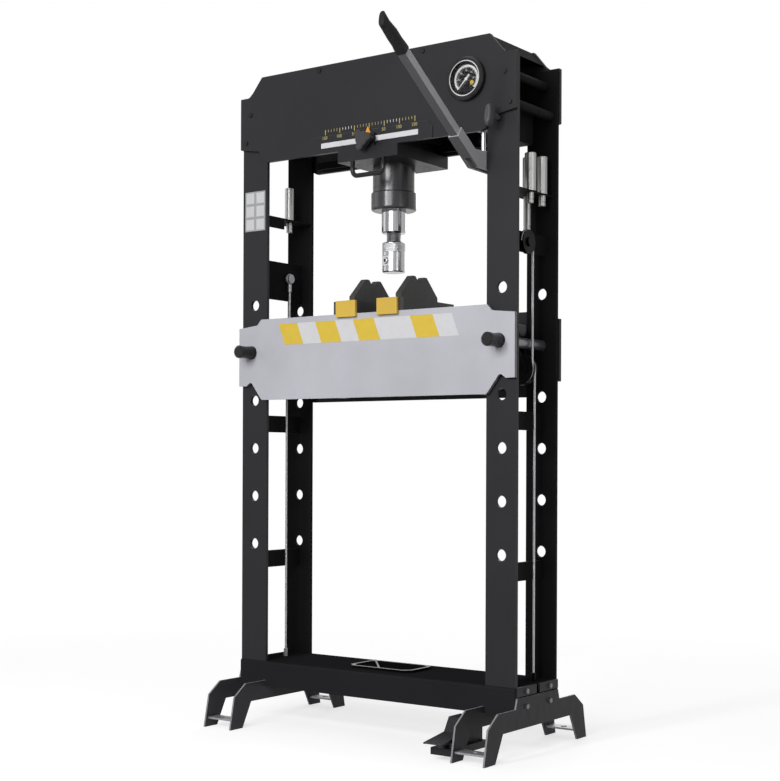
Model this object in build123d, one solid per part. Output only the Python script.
from build123d import *

import math
import os

os.makedirs("parts", exist_ok=True)

# Columns: four flat plates with pin holes
COLUMN_INNER = 368.0
COLUMN_WIDTH = 90.0
COLUMN_PLATE = 10.0
FRAME_DEPTH = 210.0
HOLE_FIRST = 508.0
HOLE_PITCH = 136.0
HOLE_COUNT = 6
HOLE_OF_BED = 4
PIN_RADIUS = 14.0
PIN_CLEARANCE = 1.0
RUNNING_CLEARANCE = 0.05
SLIDE_CLEARANCE = 0.5
CUT_OVERRUN = 2.0

COLUMN_OUTER = COLUMN_INNER + COLUMN_WIDTH
COLUMN_MID = COLUMN_INNER + COLUMN_WIDTH / 2
FRONT = -FRAME_DEPTH / 2
REAR = FRAME_DEPTH / 2
FRONT_INSIDE = FRONT + COLUMN_PLATE
REAR_INSIDE = REAR - COLUMN_PLATE
HOLE_RADIUS = PIN_RADIUS + PIN_CLEARANCE

# Head: two outlined plates on the columns, a folded cover and spacer bars
HEAD_BOTTOM = 1590.0
HEAD_HEIGHT = 244.0
HEAD_PLATE = 10.0
HEAD_SEAM = 0.5
SHOULDER_INSET = 43.0
SHOULDER_RUN = 34.0
HEAD_SHOULDER_DROP = 41.0
KNEE_SETBACK = 11.0
KNEE_RUN = 12.0
HEAD_KNEE_RISE = 6.0
EAR_OVERHANG = 2.0
EAR_TOP_DROP = 53.0
EAR_NECK_REACH = 24.0
EAR_NECK_RISE = 34.5
EAR_RISE = 45.0
EAR_HOLLOW_RADIUS = 14.0
COLUMN_TOP_DROP = 5.0
EAR_CORNER_RADIUS = 3.0
COVER_SHEET = 4.0
COVER_INSET = 2.5
SPACER_RADIUS = 12.0
SPACER_UPPER_DROP = 102.0
SPACER_LOWER_RISE = 63.0
SPACER_UPPER_INSET = 34.0
SPACER_LOWER_INSET = 18.0
HEAD_SCREW_RADIUS = 7.0
HEAD_SCREW_HEIGHT = 3.0
HEAD_SCREW_X = 173.0
HEAD_SCREW_DROP = 12.0
RAIL_HEIGHT = 20.0
RAIL_RISE = 8.0
RAIL_DEPTH = 20.0
RAIL_INSET = 28.0

HEAD_TOP = HEAD_BOTTOM + HEAD_HEIGHT
EAR_TOP = HEAD_TOP - EAR_TOP_DROP
COLUMN_TOP = EAR_TOP - COLUMN_TOP_DROP
HEAD_SHOULDER = COLUMN_OUTER - SHOULDER_INSET
HEAD_TOP_HALF = HEAD_SHOULDER - SHOULDER_RUN
HEAD_BOTTOM_HALF = COLUMN_INNER - KNEE_SETBACK
HEAD_KNEE = HEAD_BOTTOM_HALF + KNEE_RUN
EAR_NECK = COLUMN_INNER + EAR_NECK_REACH
HEAD_FRONT_BACK = FRONT - HEAD_SEAM
HEAD_FRONT_FACE = HEAD_FRONT_BACK - HEAD_PLATE
RAIL_TOP = HEAD_BOTTOM + RAIL_RISE + RAIL_HEIGHT
RAIL_HALF = COLUMN_INNER - RAIL_INSET

# Scale plate and guide strip on the head's face
SCALE_HALF = 206.0
SCALE_HEIGHT = 47.0
SCALE_PLATE = 3.0
SCALE_CORNER = 16.0
STRIP_HALF = 162.0
STRIP_HEIGHT = 14.0
STRIP_RISE = 14.0
STRIP_SHEET = 0.8

SCALE_FACE = HEAD_FRONT_FACE - SCALE_PLATE
STRIP_FACE = SCALE_FACE - STRIP_SHEET

# Ties, rope plates and racks between front and rear columns
TIE_HEIGHT = 48.0
TIE_THICKNESS = 10.0
TIE_LOWER_DROP = 71.0
TIE_UPPER_DROP = 89.0
TIE_UPPER_COUNT = 3
ANCHOR_PLATE = 8.0
ANCHOR_HEIGHT = 110.0
ANCHOR_RISE = 160.0
ANCHOR_OFFSET = 9.0
RACK_DROP = 146.0
RACK_SHEET = 4.0
RACK_LIP = 32.0
RACK_WIDTH = 76.0
RACK_SETBACK = 2.0

HOLE_BED = HOLE_FIRST + HOLE_OF_BED * HOLE_PITCH
TIE_LOWER = HOLE_FIRST - TIE_LOWER_DROP
TIE_UPPER = HOLE_FIRST + TIE_UPPER_COUNT * HOLE_PITCH - TIE_UPPER_DROP
ANCHOR_BOTTOM = HOLE_BED + ANCHOR_RISE
RACK_TOP = HEAD_BOTTOM - RACK_DROP
RACK_EDGE = COLUMN_INNER + RACK_SETBACK

# Mandrels: turned bodies that stand in the racks on a grooved spigot, set in from the rack's inner edge
MANDREL_HEIGHT = 98.0
MANDREL_EDGE = 1.5
MANDREL_LEFT_RADIUS = 13.0
MANDREL_LARGE_RADIUS = 15.0
MANDREL_SMALL_RADIUS = 13.0
MANDREL_LONG_RADIUS = 12.5
SPIGOT_RADIUS = 9.0
SPIGOT_LONG_RADIUS = 10.0
SPIGOT_DROP = 32.0
SPIGOT_LONG_DROP = 94.0
SPIGOT_GROOVE = 3.0
SPIGOT_GROOVE_DEPTH = 1.2
SPIGOT_GROOVE_RISE = 9.0
SPIGOT_CLEARANCE = 0.3
MANDREL_LEFT_INSET = 30.0
MANDREL_LEFT_Y = 31.0
MANDREL_LARGE_INSET = 66.0
MANDREL_LARGE_Y = -4.0
MANDREL_SMALL_INSET = 66.0
MANDREL_SMALL_Y = 57.0
MANDREL_LONG_INSET = 28.0
MANDREL_LONG_Y = 45.0

# Base channel, end plates and feet
BASE_TOP = 175.0
BASE_HEIGHT = 71.0
COLUMN_LIFT = 3.0
BASE_SHEET = 5.0
BASE_BEND = 6.0
END_PLATE_ROUND = 4.0
END_PLATE_GAP = 6.0
FOOT_PLATE = 5.0
FOOT_LENGTH = 518.0
TOE_WIDTH = 51.0
TOE_LEAN = 18.0
TOE_KNEE_DROP = 33.0
FOOT_SLOPE = 46.0
FOOT_TOP = 122.0
ARCH_LEAN = 36.0
ARCH_DROP = 52.0
TAB_FLARE = 8.0
TAB_INSET = 2.0
TAB_RISE = 26.0
TOE_PLATE_RISE = 22.0
TOE_PLATE_INSET = 13.0
TOE_PLATE_LENGTH = 41.0
TOE_HOLE_RADIUS = 9.0
BOLT_HEAD_RADIUS = 7.0
BOLT_HEAD_HEIGHT = 5.0
BOLT_SIDES = 6
BOLT_SPREAD = 59.0
BOLT_UPPER_DROP = 12.5
BOLT_LOWER_DROP = 24.0
BOLT_SHANK_RADIUS = 4.0

BASE_BOTTOM = BASE_TOP - BASE_HEIGHT
COLUMN_BOTTOM = BASE_BOTTOM + COLUMN_LIFT
END_PLATE_TOP = BASE_TOP
BASE_FRONT = FRONT - BASE_SHEET
BASE_REAR = REAR + BASE_SHEET
TOE_OUTER = FOOT_LENGTH / 2
TOE_INNER = TOE_OUTER - TOE_WIDTH
TOE_KNEE = TOE_OUTER - TOE_LEAN
TOE_KNEE_RISE = FOOT_TOP - TOE_KNEE_DROP
FOOT_SHOULDER = TOE_KNEE - FOOT_SLOPE
FOOT_ARCH = TOE_INNER - ARCH_LEAN
FOOT_ARCH_RISE = FOOT_TOP - ARCH_DROP
TAB_TOP_HALF = FRAME_DEPTH / 2 - TAB_INSET
TAB_ROOT = TAB_TOP_HALF + TAB_FLARE
TAB_TOP = FOOT_TOP + TAB_RISE
TOE_PLATE_FRONT = TOE_OUTER - TOE_PLATE_INSET
TOE_PLATE_BACK = TOE_PLATE_FRONT - TOE_PLATE_LENGTH
TOE_MID = (TOE_PLATE_FRONT + TOE_PLATE_BACK) / 2
BOLT_UPPER = END_PLATE_TOP - BOLT_UPPER_DROP
BOLT_LOWER = TAB_TOP - BOLT_LOWER_DROP

# Bed: two outlined plates, spacer bars, rope sheaves
BED_BELOW_PIN = 135.0
BED_HEIGHT = 228.0
BED_PLATE = 10.0
BED_SEAM = 3.5
BED_SHOULDER_REACH = 24.0
BED_SHOULDER_RUN = 14.0
BED_EAR_TOP_DROP = 16.0
BED_EAR_SLOPE = 7.0
BED_EAR_OVERHANG = 2.0
BED_EAR_BOTTOM_RISE = 40.0
BED_NOTCH_INSET = 27.0
BED_NOTCH_RUN = 17.0
BED_NOTCH_RISE = 52.5
BED_BOTTOM_RUN = 40.0
BED_CORNER_RADIUS = 9.0
BED_BAR_RADIUS = 15.5
BED_BAR_TENON = 8.0
BED_BAR_SETBACK = 17.0
BED_BAR_DROP = 49.0
BED_LOW_BAR_SETBACK = 128.0
BED_LOW_BAR_RISE = 24.0

BED_FRONT_BACK = FRONT - BED_SEAM
BED_FRONT_FACE = BED_FRONT_BACK - BED_PLATE
PIN_HEIGHT = HOLE_BED
BED_BOTTOM = PIN_HEIGHT - BED_BELOW_PIN
BED_TOP = BED_BOTTOM + BED_HEIGHT
BED_EAR_HALF = COLUMN_OUTER + BED_EAR_OVERHANG
BED_SHOULDER = COLUMN_INNER + BED_SHOULDER_REACH
BED_TOP_HALF = BED_SHOULDER - BED_SHOULDER_RUN
BED_NOTCH_OUTER = BED_EAR_HALF - BED_NOTCH_INSET
BED_NOTCH = BED_NOTCH_OUTER - BED_NOTCH_RUN
BED_BOTTOM_HALF = BED_NOTCH - BED_BOTTOM_RUN
BED_BAR_X = COLUMN_INNER - BED_BAR_SETBACK
BED_LOW_BAR_X = COLUMN_INNER - BED_LOW_BAR_SETBACK

# Guide ropes: two crossed ropes in upright planes, each over two sheaves in the bed
ROPE_RADIUS = 3.0
ROPE_WRAP = 38.0
SHEAVE_RIM = 42.0
SHEAVE_WIDTH = 10.0
SHEAVE_GROOVE_CLEARANCE = 0.1
SHEAVE_BELOW_PIN = 66.0
LINK_PLATE = 6.0
LINK_RADIUS = 22.0
AXLE_RADIUS = 8.0
AXLE_CLEARANCE = 0.05
ROPE_FRONT_Y = 15.0
ROPE_REAR_Y = 27.0
ROPE_LEFT_OFFSET = 19.0
ROPE_RIGHT_OFFSET = 20.0
DRUM_FLANGE_RADIUS = 31.0
DRUM_WIDTH = 12.0
DRUM_FLANGE = 2.5
DRUM_RISE = 50.0
DRUM_WRAP = 28.0
DRUM_BOLT_RADIUS = 6.0
DRUM_HEAD_RADIUS = 12.0
DRUM_HEAD = 5.0
DRUM_BRACKET_RISE = 210.0
DRUM_BRACKET_HEIGHT = 84.0
EYE_RISE = 64.0
EYE_RADIUS = 13.0
EYE_WIRE = 3.0
EYE_BOLT_RADIUS = 9.7
EYE_BOLT_HEAD = 4.0
FERRULE_RADIUS = 6.0
FERRULE_LENGTH = 22.0

DRUM_BRACKET_BOTTOM = HOLE_BED + DRUM_BRACKET_RISE
DRUM_HEIGHT = DRUM_BRACKET_BOTTOM + DRUM_RISE
EYE_HEIGHT = ANCHOR_BOTTOM + EYE_RISE
ROPE_LEFT_X = ROPE_LEFT_OFFSET - COLUMN_MID
ROPE_RIGHT_X = COLUMN_MID + ROPE_RIGHT_OFFSET
SHEAVE_HEIGHT = PIN_HEIGHT - SHEAVE_BELOW_PIN
SHEAVE_LEFT_X = ROPE_LEFT_X + ROPE_WRAP
SHEAVE_RIGHT_X = ROPE_RIGHT_X - ROPE_WRAP
DRUM_FRONT_Y = ROPE_FRONT_Y - DRUM_WRAP

# Bed pins with grips
PIN_TAIL = 16.0
GRIP_RADIUS = 18.0
GRIP_LENGTH = 60.0
GRIP_ROUND = 5.0
GRIP_COLLAR_RADIUS = 19.0
GRIP_COLLAR = 5.0
GRIP_WAIST_RADIUS = 17.0
PIN_SOCKET_WALL = 20.0
PIN_SEAT = 0.4

# V-blocks with front caps, resting on the bed's upper edges
VEE_BASE_WIDTH = 82.0
VEE_BASE_MID = 75.5
VEE_BASE_HEIGHT = 35.0
VEE_BASE_OVERHANG = 6.0
VEE_PLATE = 18.0
VEE_PLATE_MID = 78.0
VEE_HALF = 87.0
VEE_SHOULDER = 51.0
VEE_HEIGHT = 102.0
VEE_PEAK_OUTER = 34.0
VEE_PEAK_INNER = 20.0
VEE_NOTCH_DEPTH = 20.0
VEE_ROUND = 3.0
CAP_WIDTH = 67.0
CAP_MID = 69.0
CAP_HEIGHT = 44.0
CAP_DROP = 9.0
CAP_DEPTH = 12.0
CAP_ROUND = 3.5

# Drip tray on the deck
TRAY_LENGTH = 206.0
TRAY_WIDTH = 126.0
TRAY_CORNER = 18.0
TRAY_HEIGHT = 8.0
TRAY_WALL = 2.5
TRAY_RIM = 6.0
TRAY_X = -2.0
TRAY_Y = -4.0
TRAY_ROD_RADIUS = 2.5
TRAY_ROD_FRONT = 2.0
TRAY_ROD_BACK = -94.0

# Carriage under the head
CARRIAGE_HALF = 100.0
CARRIAGE_DROP = 33.0
CARRIAGE_BACK_REACH = 3.5
LUG_THICKNESS = 6.2
FACE_PLATE = 9.0
LUG_HALF = 24.0
LUG_RISE = 36.0
LUG_BACK_GAP = 0.5
NECK_HALF = 75.0
NECK_GAP = 3.5
HANGER_HALF = 100.0
HANGER_GAP = 11.5
HANGER_THICKNESS = 16.0
CARRIAGE_EDGE = 2.0
HANDLE_HALF = 53.0
HANDLE_DROP = 42.0
HANDLE_RADIUS = 4.5
HANDLE_BEND = 16.0
POINTER_HALF = 9.5
POINTER_HEIGHT = 19.0
POINTER_SHEET = 3.0
CLAMP_RISE = 17.0
CLAMP_SHANK_RADIUS = 5.0
CLAMP_LOBE_RADIUS = 11.0
CLAMP_LOBE_CIRCLE = 20.0
CLAMP_HUB_RADIUS = 13.0
CLAMP_HUB_LENGTH = 10.0
CLAMP_HEAD_LENGTH = 18.0
CLAMP_ROUND = 3.0
CLAMP_LOBES = 3
CLAMP_TURN_DEG = 130.0

CARRIAGE_FACE = LUG_THICKNESS + LUG_BACK_GAP - STRIP_FACE
CARRIAGE_BACK = CARRIAGE_BACK_REACH - HEAD_FRONT_FACE
NECK_DEPTH = -HEAD_FRONT_BACK - RAIL_DEPTH - NECK_GAP
HANGER_DEPTH = -HEAD_FRONT_BACK - HANGER_GAP
CARRIAGE_TOP = HEAD_BOTTOM - SLIDE_CLEARANCE
CARRIAGE_BOTTOM = CARRIAGE_TOP - CARRIAGE_DROP
LUG_TOP = HEAD_BOTTOM + LUG_RISE
HANGER_BOTTOM = RAIL_TOP + SLIDE_CLEARANCE
CLAMP_HEIGHT = HEAD_BOTTOM + CLAMP_RISE

# Cylinder, ram and nose
BARREL_RADIUS = 58.5
BARREL_BORE = 48.0
BARREL_CAP = 20.0
BARREL_TOP_GAP = 29.0
BARREL_GROOVE = 3.0
BARREL_GROOVE_DEPTH = 1.2
BARREL_GROOVE_RISE = 9.0
COLLAR_RADIUS = 63.0
COLLAR_HEIGHT = 50.0
COLLAR_ROUND = 7.0
COLLAR_TOP_ROUND = 4.0
BARREL_DROP = 74.0
RAM_RADIUS = 34.0
RAM_SHOWN = 62.0
RAM_EDGE = 4.0
PISTON_HEIGHT = 40.0
PISTON_ROOM = 37.5
SCREW_RADIUS = 20.0
SCREW_SHOWN = 24.0
SCREW_IN_RAM = 60.0
SCREW_BORE_DEPTH = 96.0
SCREW_CLEARANCE = 0.1
NOSE_RADIUS = 32.0
NOSE_HEIGHT = 83.0
NOSE_EDGE = 3.0
NOSE_GROOVE = 2.5
NOSE_GROOVE_DEPTH = 1.5
NOSE_GROOVE_RISE = 13.0
NOSE_FLAT_DEPTH = 4.0
NOSE_FLAT_WIDTH = 30.0
NOSE_FLAT_HEIGHT = 26.0
NOSE_FLAT_RISE = 36.0
NOSE_HOLE_RADIUS = 4.5
NOSE_HOLE_DEPTH = 14.0
NOSE_FLAT_TURN = 215.0

COLLAR_TOP = CARRIAGE_BOTTOM - BARREL_DROP
COLLAR_BOTTOM = COLLAR_TOP - COLLAR_HEIGHT
RAM_BOTTOM = COLLAR_BOTTOM - RAM_SHOWN
NOSE_TOP = RAM_BOTTOM - SCREW_SHOWN
NOSE_BOTTOM = NOSE_TOP - NOSE_HEIGHT
BARREL_TOP = HEAD_TOP - BARREL_TOP_GAP

# Hand pump behind the head plate, its lever and its plunger
PUMP_SETBACK = 18.0
PUMP_HALF = 17.5
PUMP_DEPTH = 65.5
PUMP_RISE = 2.0
PUMP_HEIGHT = 78.0
TANK_OVERHANG_LEFT = 50.0
TANK_OVERHANG_RIGHT = 58.0
TANK_DEPTH = 96.0
TANK_DROP = 18.0
TANK_HEIGHT = 92.0
TANK_ROUND = 12.0
PLUNGER_SETBACK = 11.5
PLUNGER_RADIUS = 6.0
PLUNGER_BORE_DEPTH = 66.0
PLUNGER_IN_PUMP = 40.0
EYE_BLOCK_WIDTH = 14.0
EYE_BLOCK_DEPTH = 30.0
EYE_BLOCK_HEIGHT = 22.0
LEVER_PIN_RADIUS = 5.0
LEVER_PIN_PLAY = 1.0
LEVER_SLOT_PLAY = 5.0
LEVER_ARM = 55.0
LEVER_ARM_RISE_DEG = 15.0
LEVER_PIN_DROP = 70.0
TONGUE_HALF = 8.0
TONGUE_CLEARANCE = 1.0
PIVOT_RADIUS = 8.0
PIVOT_BOSS = 18.0
CHEEK = 6.0
CHEEK_HALF_HEIGHT = 15.0
BEND_REACH = 96.0
BEND_DROP = 4.0
LEVER_RISE_DEG = 34.0
SOCKET_LENGTH = 110.0
TUBE_SIDE = 24.0
TUBE_ROUND = 3.0
TUBE_START = 34.0
TUBE_LENGTH = 348.0
LEVER_GRIP_LENGTH = 114.0
LEVER_GRIP_WIDTH = 29.0
LEVER_GRIP_BUTT = 13.0
LEVER_GRIP_BELLY = 15.5
LEVER_GRIP_NECK = 28.0
LEVER_GRIP_WAIST = 12.0
LEVER_GRIP_HOOK = 17.5
LEVER_GRIP_SLANT = 16.0
LEVER_GRIP_TURN = 6.0
LEVER_GRIP_ROUND = 4.5

PUMP_X = COLUMN_INNER - PUMP_SETBACK
PUMP_BOTTOM = HEAD_BOTTOM + PUMP_RISE
PUMP_TOP = PUMP_BOTTOM + PUMP_HEIGHT
PUMP_BACK = HEAD_FRONT_BACK + PUMP_DEPTH
TANK_LEFT = PUMP_X - TANK_OVERHANG_LEFT
TANK_RIGHT = PUMP_X + TANK_OVERHANG_RIGHT
TANK_BACK = PUMP_BACK + TANK_DEPTH
TANK_BOTTOM = PUMP_BOTTOM - TANK_DROP
PLUNGER_Y = HEAD_FRONT_BACK + PLUNGER_SETBACK
LEVER_PIN_HEIGHT = PUMP_BOTTOM - LEVER_PIN_DROP
PIVOT_Y = PLUNGER_Y + LEVER_ARM * math.cos(math.radians(LEVER_ARM_RISE_DEG))
PIVOT_Z = LEVER_PIN_HEIGHT - LEVER_ARM * math.sin(math.radians(LEVER_ARM_RISE_DEG))
CHEEK_INNER = TONGUE_HALF + TONGUE_CLEARANCE

# Release valve behind the right front column, with its knob in front
VALVE_INSET = 34.0
VALVE_RISE = 28.0
VALVE_HALF = 17.0
VALVE_DEPTH = 34.0
SPINDLE_RADIUS = 5.0
SPINDLE_CLEARANCE = 1.0
KNOB_HEIGHT = 58.0
KNOB_WIDTH = 19.0
KNOB_DEPTH = 25.0
KNOB_ROUND = 5.0
KNOB_STANDOFF = 22.0
KNOB_HUB_RADIUS = 9.0
SPINDLE_IN_VALVE = 20.0

VALVE_X = COLUMN_INNER + VALVE_INSET
VALVE_Z = HEAD_BOTTOM + VALVE_RISE

# Gauge in the head plate
GAUGE_INSET = 68.0
GAUGE_DROP = 107.0
GAUGE_CASE_RADIUS = 49.0
GAUGE_BEZEL_RADIUS = 56.0
GAUGE_BEZEL_DEPTH = 16.0
GAUGE_BEZEL_INNER = 46.0
GAUGE_BEZEL_ROUND = 4.0
GAUGE_CASE_DEPTH = 30.0
GAUGE_FLOOR = 3.0
GAUGE_DIAL_SHEET = 1.0
GAUGE_LENS_SHEET = 2.0
GAUGE_LENS_INSET = 2.0
GAUGE_FIT = 0.1
NEEDLE_LENGTH = 36.0
NEEDLE_TAIL = 14.0
NEEDLE_HALF = 1.2
NEEDLE_TAIL_HALF = 2.6
NEEDLE_SHEET = 0.8
NEEDLE_HUB_RADIUS = 4.0
NEEDLE_STANDOFF = 1.2
NEEDLE_REST_DEG = 225.0

GAUGE_X = HEAD_TOP_HALF - GAUGE_INSET
GAUGE_Z = HEAD_TOP - GAUGE_DROP
BEZEL_FACE = HEAD_FRONT_FACE - GAUGE_BEZEL_DEPTH
DIAL_BACK = HEAD_FRONT_FACE - GAUGE_FLOOR
DIAL_FACE = DIAL_BACK - GAUGE_DIAL_SHEET

# Pedal inside the right foot
PEDAL_WIDTH = 56.0
PEDAL_SIDE_SETBACK = 7.0
PEDAL_BASE_SETBACK = 7.0
PEDAL_BASE_LENGTH = 168.0
PEDAL_BASE_RISE = 14.0
PEDAL_BASE_HEIGHT = 18.0
PEDAL_SHEET = 4.0
PEDAL_PUMP_LENGTH = 82.0
PEDAL_PUMP_HEIGHT = 44.0
PEDAL_PUMP_INSET = 9.0
PEDAL_PUMP_ROUND = 8.0
PEDAL_PIVOT_SETBACK = 64.0
PEDAL_PIVOT_RISE = 14.0
PEDAL_PIVOT_RADIUS = 5.0
PEDAL_EAR_RADIUS = 11.0
PEDAL_TREAD_LENGTH = 96.0
PEDAL_TIP_RISE = 2.5
PEDAL_STEP_LENGTH = 4.0
PEDAL_STEP_RISE = 16.0
PEDAL_HOOD_START = 18.0
PEDAL_HOOD_LENGTH = 54.0
PEDAL_HOOD_RISE = 51.0
PEDAL_SKIRT_RISE = 24.0
PEDAL_SIDE_GAP = 1.0

INNER_FACE = COLUMN_INNER - FOOT_PLATE
PEDAL_RIGHT = INNER_FACE - PEDAL_SIDE_SETBACK
PEDAL_LEFT = PEDAL_RIGHT - PEDAL_WIDTH
PEDAL_BASE_FRONT = PEDAL_BASE_SETBACK - TOE_OUTER
PEDAL_BASE_BACK = PEDAL_BASE_FRONT + PEDAL_BASE_LENGTH
PEDAL_PUMP_FRONT = PEDAL_BASE_BACK - PEDAL_PUMP_LENGTH
PEDAL_BASE_TOP = PEDAL_BASE_RISE + PEDAL_BASE_HEIGHT
PEDAL_PUMP_TOP = PEDAL_BASE_TOP + PEDAL_PUMP_HEIGHT
PEDAL_PIVOT_Y = PEDAL_BASE_FRONT + PEDAL_PIVOT_SETBACK
PEDAL_PIVOT_Z = PEDAL_BASE_TOP + PEDAL_PIVOT_RISE
PEDAL_TIP_Y = PEDAL_PIVOT_Y - PEDAL_TREAD_LENGTH
PEDAL_TIP_Z = PEDAL_PIVOT_Z + PEDAL_TIP_RISE
PEDAL_STEP_Y = PEDAL_PIVOT_Y - PEDAL_STEP_LENGTH
PEDAL_STEP_Z = PEDAL_PIVOT_Z + PEDAL_STEP_RISE
PEDAL_HOOD_FRONT_Y = PEDAL_PIVOT_Y + PEDAL_HOOD_START
PEDAL_HOOD_BACK_Y = PEDAL_HOOD_FRONT_Y + PEDAL_HOOD_LENGTH
PEDAL_HOOD_Z = PEDAL_PIVOT_Z + PEDAL_HOOD_RISE
PEDAL_SKIRT_Z = PEDAL_PIVOT_Z + PEDAL_SKIRT_RISE

NODES = {}
TURN_SHARES = [k / CLAMP_LOBES for k in range(CLAMP_LOBES)]


def block(x_low, x_high, y_low, y_high, z_low, z_high):
    """A box between two opposite corners."""
    middle = Pos((x_low + x_high) / 2, (y_low + y_high) / 2, (z_low + z_high) / 2)
    return middle * Box(x_high - x_low, y_high - y_low, z_high - z_low)


def bar(start, end, radius):
    """A round bar from one point to another."""
    run = Vector(*end) - Vector(*start)
    return Plane(Vector(*start), z_dir=run) * Cylinder(
        radius, run.length, align=(Align.CENTER, Align.CENTER, Align.MIN)
    )


def bar_x(y, z, x_low, x_high, radius):
    """A round bar that runs to the right."""
    return bar((x_low, y, z), (x_high, y, z), radius)


def bar_y(x, z, y_low, y_high, radius):
    """A round bar that runs to the rear."""
    return bar((x, y_low, z), (x, y_high, z), radius)


def bar_z(x, y, z_low, z_high, radius):
    """A round bar that runs up."""
    return bar((x, y, z_low), (x, y, z_high), radius)


def hole_y(x, z, y_low, y_high, radius):
    """A cutter for a hole through a plate between two depths."""
    return bar_y(x, z, y_low - CUT_OVERRUN, y_high + CUT_OVERRUN, radius)


def sketch_y(points, y):
    """An outline of (x, z) points in an upright plane that faces front."""
    return Plane((0, y, 0), x_dir=(1, 0, 0), z_dir=(0, -1, 0)) * Polygon(*points, align=None)


def plate_y(points, y_front, y_back):
    """A plate with an (x, z) outline between two depths."""
    return extrude(sketch_y(points, y_back), amount=y_back - y_front, dir=(0, -1, 0))


def plate_x(points, x_low, x_high):
    """A plate with a (y, z) outline between two places across the press."""
    plane = Plane((x_low, 0, 0), x_dir=(0, 1, 0), z_dir=(1, 0, 0))
    return extrude(plane * Polygon(*points, align=None), amount=x_high - x_low, dir=(1, 0, 0))


def plate_z(points, z_low, z_high):
    """A plate with an (x, y) outline between two heights."""
    return extrude(
        Plane((0, 0, z_low)) * Polygon(*points, align=None), amount=z_high - z_low, dir=(0, 0, 1)
    )


def turned(profile):
    """A solid of revolution about Z from (radius, height) points."""
    return revolve(Plane.XZ * Polygon(*profile, align=None), Axis.Z)


def along_y(x, z):
    """The place of a turned piece whose axis runs to the rear."""
    return Plane((x, 0, z), x_dir=(1, 0, 0), z_dir=(0, 1, 0)).location


def along_x(y, z):
    """The place of a turned piece whose axis runs to the right."""
    return Plane((0, y, z), x_dir=(0, 1, 0), z_dir=(1, 0, 0)).location


def mirrored(half):
    """A closed outline from the points of its right half, listed from bottom to top."""
    return half + [(-x, z) for x, z in reversed(half)]


def upright_edges(solid, axis):
    """The edges of a solid that run along an axis."""
    return solid.edges().filter_by(axis)


def corner_edges(solid, axis, places, reach):
    """The edges along an axis that lie near one of the given (first, second) places."""
    found = []
    for edge in solid.edges().filter_by(axis):
        middle = edge.center()
        pair = (middle.X, middle.Z) if axis == Axis.Y else (middle.Y, middle.Z)
        if any(math.dist(pair, place) < reach for place in places):
            found.append(edge)
    return found


def save(name, *solids):
    """Keep one node, of one solid or of several separate ones."""
    NODES[name] = [solid for shape in solids for solid in shape.solids()]


# Columns
def column(side, front):
    """One column plate with its row of pin holes."""
    x_low, x_high = sorted((side * COLUMN_INNER, side * COLUMN_OUTER))
    y_low, y_high = (FRONT, FRONT_INSIDE) if front else (REAR_INSIDE, REAR)
    plate = block(x_low, x_high, y_low, y_high, COLUMN_BOTTOM, COLUMN_TOP)
    for k in range(HOLE_COUNT):
        height = HOLE_FIRST + k * HOLE_PITCH
        plate -= hole_y(side * COLUMN_MID, height, y_low, y_high, HOLE_RADIUS)
    if front and side > 0:
        plate -= hole_y(VALVE_X, VALVE_Z, y_low, y_high, SPINDLE_RADIUS + SPINDLE_CLEARANCE)
    return plate


save("front_left_column", column(-1, True))
save("front_right_column", column(1, True))
save("rear_left_column", column(-1, False))
save("rear_right_column", column(1, False))

# Head plates: ears that lap the columns, hollow shoulders, slanted lower corners
EAR_HALF = COLUMN_OUTER + EAR_OVERHANG
SHOULDER_Z = HEAD_TOP - HEAD_SHOULDER_DROP
HEAD_HALF_OUTLINE = [
    (HEAD_BOTTOM_HALF, HEAD_BOTTOM),
    (HEAD_KNEE, HEAD_BOTTOM + HEAD_KNEE_RISE),
    (EAR_NECK, HEAD_BOTTOM + EAR_NECK_RISE),
    (EAR_HALF, HEAD_BOTTOM + EAR_RISE),
    (EAR_HALF, EAR_TOP),
    (HEAD_SHOULDER + EAR_HOLLOW_RADIUS, EAR_TOP),
    (HEAD_SHOULDER, SHOULDER_Z),
    (HEAD_TOP_HALF, HEAD_TOP),
]
GAUGE_HOLE = GAUGE_CASE_RADIUS + GAUGE_FIT


def head_plate(y_front, y_back):
    """The outlined plate of the head, with rounded ears and hollows."""
    plate = plate_y(mirrored(HEAD_HALF_OUTLINE), y_front, y_back)
    hollow = [(side * (HEAD_SHOULDER + EAR_HOLLOW_RADIUS), EAR_TOP) for side in (-1, 1)]
    plate = fillet(corner_edges(plate, Axis.Y, hollow, EAR_CORNER_RADIUS), EAR_HOLLOW_RADIUS)
    corners = [(side * EAR_HALF, z) for side in (-1, 1) for z in (EAR_TOP, HEAD_BOTTOM + EAR_RISE)]
    corners += [(side * HEAD_TOP_HALF, HEAD_TOP) for side in (-1, 1)]
    return fillet(corner_edges(plate, Axis.Y, corners, EAR_CORNER_RADIUS), EAR_CORNER_RADIUS)


front_plate = head_plate(HEAD_FRONT_FACE, HEAD_FRONT_BACK)
front_plate -= hole_y(GAUGE_X, GAUGE_Z, HEAD_FRONT_FACE, HEAD_FRONT_BACK, GAUGE_HOLE)
save("head_front_plate", front_plate)
save("head_rear_plate", head_plate(-HEAD_FRONT_BACK, -HEAD_FRONT_FACE))

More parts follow.
